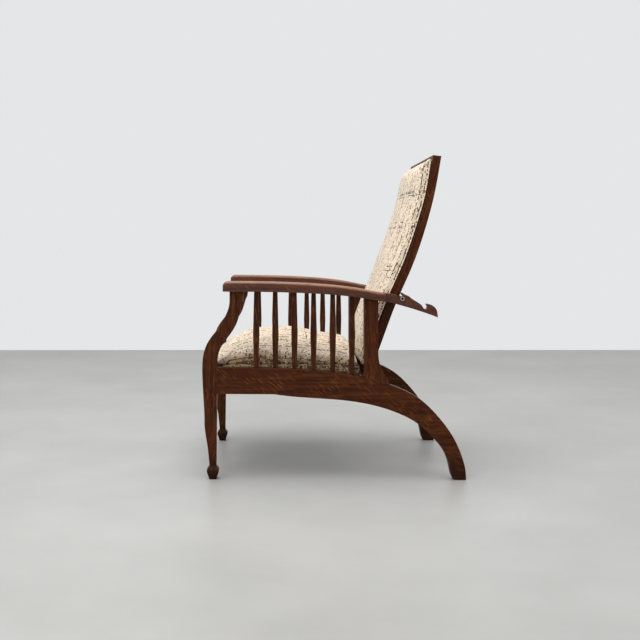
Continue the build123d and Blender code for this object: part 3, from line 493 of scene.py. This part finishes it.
# %% [markdown]
# ## Filling a cover
# A stuffed piece is cloth that is held down along its base and pushed out by what is inside it.
# So each one starts as a slightly smaller block, is remeshed into even squares of 6 mm, and then
# Blender's Cloth with a pressure inside swells it for 20 frames while its base is pinned. No point
# may end up more than 5 mm from where it started, so the piece keeps its size.
# This gives the rounded edges and the even tension that a hand-shaped block doesn't have.

# %% The Cloth recipe
SQUARE, PRESSURE, MOST_SWELL = 6 * MM, 4.0, 5 * MM
FILLING_FRAMES = 20


def ease(work, times):
    """Draw every point half way to the middle of its neighbours."""
    for _ in range(times):
        bmesh.ops.smooth_vert(work, verts=work.verts, factor=0.5,
                              use_axis_x=True, use_axis_y=True, use_axis_z=True)


def fill_cover(piece, pinned):
    remesh = piece.modifiers.new("even_squares", "REMESH")
    remesh.mode = "VOXEL"
    remesh.voxel_size = SQUARE
    depsgraph = bpy.context.evaluated_depsgraph_get()
    even = bpy.data.meshes.new_from_object(piece.evaluated_get(depsgraph))
    piece.modifiers.clear()
    piece.data = even
    work = bmesh.new()
    work.from_mesh(even)
    ease(work, times=2)
    work.to_mesh(even)
    work.free()
    start = [v.co.copy() for v in even.vertices]
    held = piece.vertex_groups.new(name="held")
    held.add([v.index for v in even.vertices if pinned(v.co)], 1.0, "REPLACE")
    cloth = piece.modifiers.new("filling", "CLOTH")
    cloth.settings.vertex_group_mass = "held"
    cloth.settings.quality = 6
    cloth.settings.mass = 0.4
    cloth.settings.tension_stiffness = 12
    cloth.settings.compression_stiffness = 12
    cloth.settings.bending_stiffness = 2
    cloth.settings.use_pressure = True
    cloth.settings.uniform_pressure_force = PRESSURE
    cloth.settings.effector_weights.gravity = 0
    cloth.collision_settings.use_self_collision = False
    cloth.point_cache.frame_start = 1
    cloth.point_cache.frame_end = FILLING_FRAMES
    scene = bpy.context.scene
    for step in range(1, FILLING_FRAMES + 1):
        scene.frame_set(step)
    depsgraph = bpy.context.evaluated_depsgraph_get()
    swollen = [v.co.copy() for v in piece.evaluated_get(depsgraph).data.vertices]
    piece.modifiers.clear()
    piece.vertex_groups.clear()
    scene.frame_set(1)
    furthest = 0.0
    for vertex, before, after in zip(even.vertices, start, swollen):
        move = after - before
        furthest = max(furthest, move.length)
        if move.length > MOST_SWELL:
            move = move.normalized() * MOST_SWELL
        vertex.co = before + move
    print(piece.name, "swelled by up to", round(furthest / MM, 1), "mm before the cap of",
          round(MOST_SWELL / MM, 1))


def finish_cover(piece):
    work = bmesh.new()
    work.from_mesh(piece.data)
    ease(work, times=1)
    bmesh.ops.recalc_face_normals(work, faces=work.faces)
    for face in work.faces:
        face.smooth = True
    work.to_mesh(piece.data)
    work.free()
    smoother = piece.modifiers.new("smooth_squares", "SUBSURF")
    smoother.levels = smoother.render_levels = 1


print("the filling recipe is ready")

# %% [markdown]
# ## The shape of the seat
# The seat is a loose frame with a stuffed top. Seen from the side its top rises from a low front
# roll to a crown over the middle, and falls towards the back. Its sides stand about 45 mm over the
# rail, and there the cover turns over a soft crease. The front is narrower, to pass between the legs.
# A few heights along the middle and along the crease describe it, so a block with enough cuts can
# be pressed to them. Below it, a strip of the cover hangs down on each side of the loose frame.

# %% The seat's block
def along_curve(places, at):
    """The height at a place along a list of (place, height), on a straight line between neighbours."""
    if at <= places[0][0]:
        return places[0][1]
    for (a, low), (b, high) in zip(places, places[1:]):
        if at <= b:
            return low + (high - low) * (at - a) / (b - a)
    return places[-1][1]


# Millimetres back from the foremost point of the chair, with heights over the floor or half widths
CHAIR_FRONT_MM = -408.75
SEAT_FRONT_MM, SEAT_REAR_MM = 18, 492
seat_top = [
    (16, 352), (30, 358), (50, 371), (65, 386), (88, 410), (106, 426), (137, 434), (189, 438), (225, 440),
    (260, 443), (312, 437), (373, 423), (404, 418), (456, 411), (468, 408), (478, 403), (486, 392),
    (492, 368),
]
seat_crease = [
    (16, 349), (30, 356), (44, 364), (60, 373), (91, 386), (146, 395), (194, 397), (304, 391), (368, 385),
    (440, 377), (470, 372), (484, 364), (492, 356),
]
seat_half_mm = [(16, 264), (46, 267), (60, 276), (75, 281), (492, 281)]
# How flat the crown is across, and how much its sides draw in towards the top
SEAT_CROWN_POWER, SEAT_SIDE_DRAW = 2.4, 0.01
# The webbing lies between the frame's top and the stuffing
WEBBING_DEPTH = 4.3 * MM
seat_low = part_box("seat_side_rail_left")[1][2] + WEBBING_DEPTH
BLOCK_CUTS = 47
PINNED_DEPTH = 2 * MM


def seat_point(s, t, h):
    """s runs across from -1 to 1, t back from 0 to 1 and h up from 0 to 1."""
    y_mm = SEAT_FRONT_MM + (SEAT_REAR_MM - SEAT_FRONT_MM) * t
    half = along_curve(seat_half_mm, y_mm) * MM
    crown = along_curve(seat_top, y_mm) * MM
    crease = along_curve(seat_crease, y_mm) * MM
    top = crown - (crown - crease) * abs(s) ** SEAT_CROWN_POWER
    x = half * s * (1 - SEAT_SIDE_DRAW * h * h)
    return mathutils.Vector((x, (y_mm + CHAIR_FRONT_MM) * MM, seat_low + (top - seat_low) * h))


def block(name, shape):
    """A cube with even cuts, each of whose points is laid where the shape puts it."""
    work = bmesh.new()
    bmesh.ops.create_cube(work, size=2.0)
    bmesh.ops.subdivide_edges(work, edges=work.edges, cuts=BLOCK_CUTS, use_grid_fill=True)
    for vertex in work.verts:
        s, t, h = vertex.co.x, (vertex.co.y + 1) / 2, (vertex.co.z + 1) / 2
        vertex.co = shape(s, t, h)
    bmesh.ops.recalc_face_normals(work, faces=work.faces)
    mesh = bpy.data.meshes.new(name)
    work.to_mesh(mesh)
    work.free()
    piece = bpy.data.objects.new(name, mesh)
    bpy.context.scene.collection.objects.link(piece)
    return piece


seat = block("seat_cushion", seat_point)
fill_cover(seat, lambda co: co.z < seat_low + PINNED_DEPTH)
finish_cover(seat)
print(seat.name, len(seat.data.vertices), "points")

# %% [markdown]
# Where the cover lies flat on the frame it isn't filled. There it is a thin closed strip: a cube that
# is cut across its length and laid where it belongs, then joined to the cushion's own mesh, because
# it is the same cloth.

# %% The strips of cover down the seat's sides
SKIRT_INSET, SKIRT_THICKNESS, SKIRT_CUTS = 0.4 * MM, 1.4 * MM, 20
SKIRT_FRONT_GAP, SKIRT_REAR_REACH, SKIRT_TOP_REACH = 6 * MM, 2 * MM, 5 * MM


def add_strip(piece, axis, cuts, place):
    """A closed strip that is cut along one axis, with each part of a point's place from 0 to 1."""
    work = bmesh.new()
    bmesh.ops.create_cube(work, size=1.0)
    long_edges = [edge for edge in work.edges if abs(edge.verts[0].co[axis] - edge.verts[1].co[axis]) > 0.5]
    bmesh.ops.subdivide_edges(work, edges=long_edges, cuts=cuts)
    for vertex in work.verts:
        vertex.co = place(*[part + 0.5 for part in vertex.co])
    bmesh.ops.recalc_face_normals(work, faces=work.faces)
    work.from_mesh(piece.data)
    work.to_mesh(piece.data)
    work.free()


frame_front, frame_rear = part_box("seat_side_rail_left")[0][1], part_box("seat_side_rail_left")[1][1]
skirt_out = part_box("seat_pad")[1][0] - SKIRT_INSET
skirt_foot, skirt_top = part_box("seat_pad")[0][2], seat_low + SKIRT_TOP_REACH
skirt_front, skirt_rear = frame_front + SKIRT_FRONT_GAP, frame_rear + SKIRT_REAR_REACH
for side in (-1, 1):
    inner, outer = sorted((side * (skirt_out - SKIRT_THICKNESS), side * skirt_out))

    def skirt_point(s, t, h):
        y = skirt_front + (skirt_rear - skirt_front) * t
        return mathutils.Vector((inner + (outer - inner) * s, y, skirt_foot + (skirt_top - skirt_foot) * h))

    add_strip(seat, 1, SKIRT_CUTS, skirt_point)
print(seat.name, len(seat.data.vertices), "points with its strips")

# %% [markdown]
# ## The shape of the back
# The back's stuffing is fixed on the front of the frame between two curved stiles, so it has to
# follow their curve. A ray sent at a stile from the front finds its surface at any height, and the
# block is laid on that line. It stands about 45 mm proud along the middle and 22 mm at the sides,
# thins where it goes down behind the seat, and rolls over under the top rail. At the sides the cover
# is tacked flat on the front of each stile, as one more strip.

# %% The back's block
BACK_FOOT, BACK_HEAD = 0.345, 1.001
FRONT_LINE_END, FRONT_LINE_STEP, RAY_START = 1.01, 0.005, -1.0
BACK_LEAN_DEGREES = 20
stile = nodes["back_stile_left"]
stile_middle = (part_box("back_stile_left")[0][0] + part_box("back_stile_left")[1][0]) / 2
bpy.context.view_layer.update()


def stile_front(z):
    start = mathutils.Vector((stile_middle, RAY_START, z))
    found, place, _, _ = stile.ray_cast(start, mathutils.Vector((0, 1, 0)))
    return place.y if found else None


front_line = []
level = BACK_FOOT
while level < FRONT_LINE_END:
    front_line.append((level, stile_front(level)))
    level += FRONT_LINE_STEP
front_line = [(z, y) for z, y in front_line if y is not None]
lean = math.radians(BACK_LEAN_DEGREES)
toward_front = mathutils.Vector((0, -math.cos(lean), math.sin(lean)))
# Shares of the crown's and of the edge's thickness, at shares of the height
back_lift = [
    (0.0, 0.30), (0.06, 0.55), (0.12, 0.78), (0.30, 0.80), (0.36, 0.80), (0.43, 0.87), (0.47, 0.96),
    (0.51, 1.01), (0.60, 0.97), (0.78, 0.90), (0.88, 0.94), (0.92, 0.84), (0.955, 0.60), (1.0, 0.30),
]
side_lift = [(0.0, 0.45), (0.04, 0.85), (0.10, 1.0), (0.94, 1.0), (0.98, 0.85), (1.0, 0.45)]
BACK_CLEAR = 2.4 * MM
BACK_EDGE_MM, BACK_CROWN_MM, BACK_HALF = 22, 44.5, 244.5 * MM
BACK_CROWN_POWER, BACK_SIDE_DRAW = 2.6, 0.012


def back_point(s, t, h):
    """s runs across from -1 to 1, h up the back from 0 to 1, and t from the front to the rear."""
    z = BACK_FOOT + (BACK_HEAD - BACK_FOOT) * h
    base = mathutils.Vector((0, along_curve(front_line, z), z))
    edge = BACK_EDGE_MM * along_curve(side_lift, h)
    crown = max(edge, BACK_CROWN_MM * along_curve(back_lift, h))
    proud = (edge + (crown - edge) * (1 - abs(s) ** BACK_CROWN_POWER)) * MM
    half = BACK_HALF * (1 - BACK_SIDE_DRAW * (1 - t))
    return base + toward_front * (BACK_CLEAR + proud * (1 - t)) + mathutils.Vector((half * s, 0, 0))


HELD_DEPTH = 6 * MM


def against_the_stiles(co):
    near = along_curve(front_line, co.z)
    return co.y > near - HELD_DEPTH


back = block("back_cushion", back_point)
fill_cover(back, against_the_stiles)
finish_cover(back)
print(back.name, len(back.data.vertices), "points")

# %% The tacked edges of the back's cover
TACKED_INNER, TACKED_OUTER, TACKED_CUTS = 205 * MM, 245.6 * MM, 59
TACKED_LOW, TACKED_HIGH = 0.4 * MM, 8.0 * MM
for side in (-1, 1):
    inner, outer = sorted((side * TACKED_INNER, side * TACKED_OUTER))

    def tacked_point(s, t, h):
        z = BACK_FOOT + (BACK_HEAD - BACK_FOOT) * h
        out = TACKED_HIGH + (TACKED_LOW - TACKED_HIGH) * t
        base = mathutils.Vector((0, along_curve(front_line, z), z))
        return base + toward_front * out + mathutils.Vector((inner + (outer - inner) * s, 0, 0))

    add_strip(back, 2, TACKED_CUTS, tacked_point)
print(back.name, len(back.data.vertices), "points with its strips")

# %% [markdown]
# ## Laying out the cloth
# The threads of a cover run straight across and straight back, and where the cloth turns down over
# an edge they carry on down it. The UV map says for each point how far along each set of threads it
# lies, in metres, so over an edge the distance down is added to the distance out.

# %% UV maps in metres
# The seat's cover turns down from just over the crease, near its sides and in its front roll
CREASE_REACH = 4 * MM
SIDE_FOLD_START, SIDE_FOLD_WIDTH = 0.93, 0.07
FRONT_ROLL_TOP, FRONT_ROLL_DEPTH_MM = 0.372, 60
# The back's cover turns over towards the stile at the edge's full height
BACK_FOLD_DEPTH, BACK_FOLD_START = 20 * MM, 0.2


def lay_cloth(piece, place):
    layer = piece.data.uv_layers.new(name="cloth")
    at = [place(v.co) for v in piece.data.vertices]
    for loop in piece.data.loops:
        layer.data[loop.index].uv = at[loop.vertex_index]
    spans = [round(max(p[i] for p in at) - min(p[i] for p in at), 3) for i in (0, 1)]
    print(piece.name, "cloth spans", spans, "m")


def seat_cloth(co):
    y_mm = co.y / MM - CHAIR_FRONT_MM
    drop = max(0.0, along_curve(seat_crease, y_mm) * MM + CREASE_REACH - co.z)
    side = max(0.0, abs(co.x) / (along_curve(seat_half_mm, y_mm) * MM) - SIDE_FOLD_START) / SIDE_FOLD_WIDTH
    u = co.x + math.copysign(drop * min(1.0, side), co.x)
    in_roll = 1 if y_mm < FRONT_ROLL_DEPTH_MM else 0
    front_drop = max(0.0, FRONT_ROLL_TOP - co.z) * max(0.0, 1 - side) * in_roll
    return (u, co.y - front_drop)


def back_cloth(co):
    behind = max(0.0, BACK_FOLD_DEPTH - ((along_curve(front_line, co.z) - co.y) * math.cos(lean)))
    u = co.x + math.copysign(behind * (1 if abs(co.x) > BACK_FOLD_START else 0), co.x)
    return (u, co.z / math.cos(lean))


lay_cloth(seat, seat_cloth)
lay_cloth(back, back_cloth)
for piece, cover, node_name, body in (
    (seat, seat_tweed, "seat_pad", "frame"), (back, back_tweed, "back_pad", "back"),
):
    piece.data.materials.append(cover)
    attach(piece, body)
    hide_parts(node_name)
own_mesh(seat)

# %% [markdown]
# ## Floor and light
# The chair stands on a pale polished concrete floor in soft, even light. Seen from the camera the
# floor ends 3.3 m past the chair, and beyond its edge the world is a paler grey. A large lamp overhead
# and a weaker one beside the camera stand in for a studio's soft boxes, and the world fills in the
# shadows.

# %% The floor
CLOUD = 625 * MM
FLOOR_FAR_EDGE, FLOOR_REACH = -3.29, 9.0


def concrete():
    material, tree, shader = new_material("polished_concrete")
    space = put(tree, "ShaderNodeTexCoord")
    clouds = put(tree, "ShaderNodeTexNoise", {"Vector": space.outputs["Object"]},
                 {"Scale": 1 / CLOUD, "Detail": 6.0, "Roughness": 0.6})
    cloudy = put(tree, "ShaderNodeMapRange", {"Value": clouds.outputs["Fac"]},
                 {"From Min": 0.35, "From Max": 0.65, "To Min": 0.0, "To Max": 1.0})
    color = put(tree, "ShaderNodeMix", {0: cloudy.outputs["Result"]},
                {6: linear("#ABABA9"), 7: linear("#B6B6B4")}, data_type="RGBA")
    tree.links.new(color.outputs[2], shader.inputs["Base Color"])
    shader.inputs["Roughness"].default_value = 0.42
    shader.inputs["Specular IOR Level"].default_value = 0.35
    return material


work = bmesh.new()
bmesh.ops.create_grid(work, x_segments=1, y_segments=1, size=1.0)
for vertex in work.verts:
    vertex.co.x = FLOOR_FAR_EDGE if vertex.co.x < 0 else FLOOR_REACH
    vertex.co.y *= FLOOR_REACH
floor_mesh = bpy.data.meshes.new("studio_floor")
work.to_mesh(floor_mesh)
work.free()
floor = bpy.data.objects.new("studio_floor", floor_mesh)
floor.data.materials.append(concrete())
bpy.context.scene.collection.objects.link(floor)
print("floor laid")

# %% The light
world = bpy.data.worlds.new("studio")
world.use_nodes = True
bpy.context.scene.world = world
world.node_tree.nodes.clear()
sky = world.node_tree
seen = put(sky, "ShaderNodeBackground", values={"Color": linear("#E5E6E8"), "Strength": 1.0})
lighting = put(sky, "ShaderNodeBackground", values={"Color": linear("#F8F7F5"), "Strength": 0.66})
rays = put(sky, "ShaderNodeLightPath")
either = put(sky, "ShaderNodeMath", {0: rays.outputs["Is Camera Ray"], 1: rays.outputs["Is Glossy Ray"]},
             operation="MAXIMUM")
any_seen = put(sky, "ShaderNodeMath", {0: either.outputs[0], 1: rays.outputs["Is Transmission Ray"]},
               operation="MAXIMUM")
both = put(sky, "ShaderNodeMixShader", {0: any_seen.outputs[0], 1: lighting.outputs[0], 2: seen.outputs[0]})
put(sky, "ShaderNodeOutputWorld", {"Surface": both.outputs[0]})


def soft_box(name, place, aim, size, power):
    lamp = bpy.data.lights.new(name, "AREA")
    lamp.shape = "RECTANGLE"
    lamp.size, lamp.size_y = size
    lamp.energy = power
    holder = bpy.data.objects.new(name, lamp)
    holder.location = place
    direction = mathutils.Vector(aim) - mathutils.Vector(place)
    holder.rotation_euler = direction.to_track_quat("-Z", "Y").to_euler()
    bpy.context.scene.collection.objects.link(holder)


# Each lamp's place, the point it faces and its width and height in metres, and its power in watts
soft_boxes = {
    "overhead_soft_box": ((0.4, -0.3, 3.2), (0, 0, 0.4), (3.0, 3.0), 92),
    "camera_side_soft_box": ((3.0, -1.6, 2.0), (0, 0, 0.5), (1.6, 1.6), 18),
}
for name, (place, aim, size, power) in soft_boxes.items():
    soft_box(name, place, aim, size, power)
print(len(soft_boxes), "soft boxes")

# %% [markdown]
# ## The camera
# It stands 3.3 m to the chair's left, a little above arm height, and is held level, so that the legs
# stay upright in the picture. The lens shift moves the frame down and to the side, onto the chair.
# Its focal length and the point that it faces are counted in pixels of a picture 640 wide.

# %% The camera
SENSOR_MM, PICTURE, FOCAL, FACED_ACROSS, FACED_DOWN = 36.0, 640, 966, 272, 242
MIDDLE = PICTURE / 2
CAMERA_PLACE = (3.309, -0.19275, 0.738)
camera = bpy.data.cameras.new("photo_camera")
camera.sensor_width = SENSOR_MM
camera.lens = SENSOR_MM * FOCAL / PICTURE
eye = bpy.data.objects.new("photo_camera", camera)
eye.location = CAMERA_PLACE
eye.rotation_euler = mathutils.Vector((-1, 0, 0)).to_track_quat("-Z", "Y").to_euler()
camera.shift_x = (MIDDLE - FACED_ACROSS) / PICTURE
camera.shift_y = (FACED_DOWN - MIDDLE) / PICTURE
bpy.context.scene.collection.objects.link(eye)
bpy.context.scene.camera = eye
bpy.context.scene.view_settings.view_transform = "Standard"
print("camera at", tuple(round(v, 3) for v in eye.location))
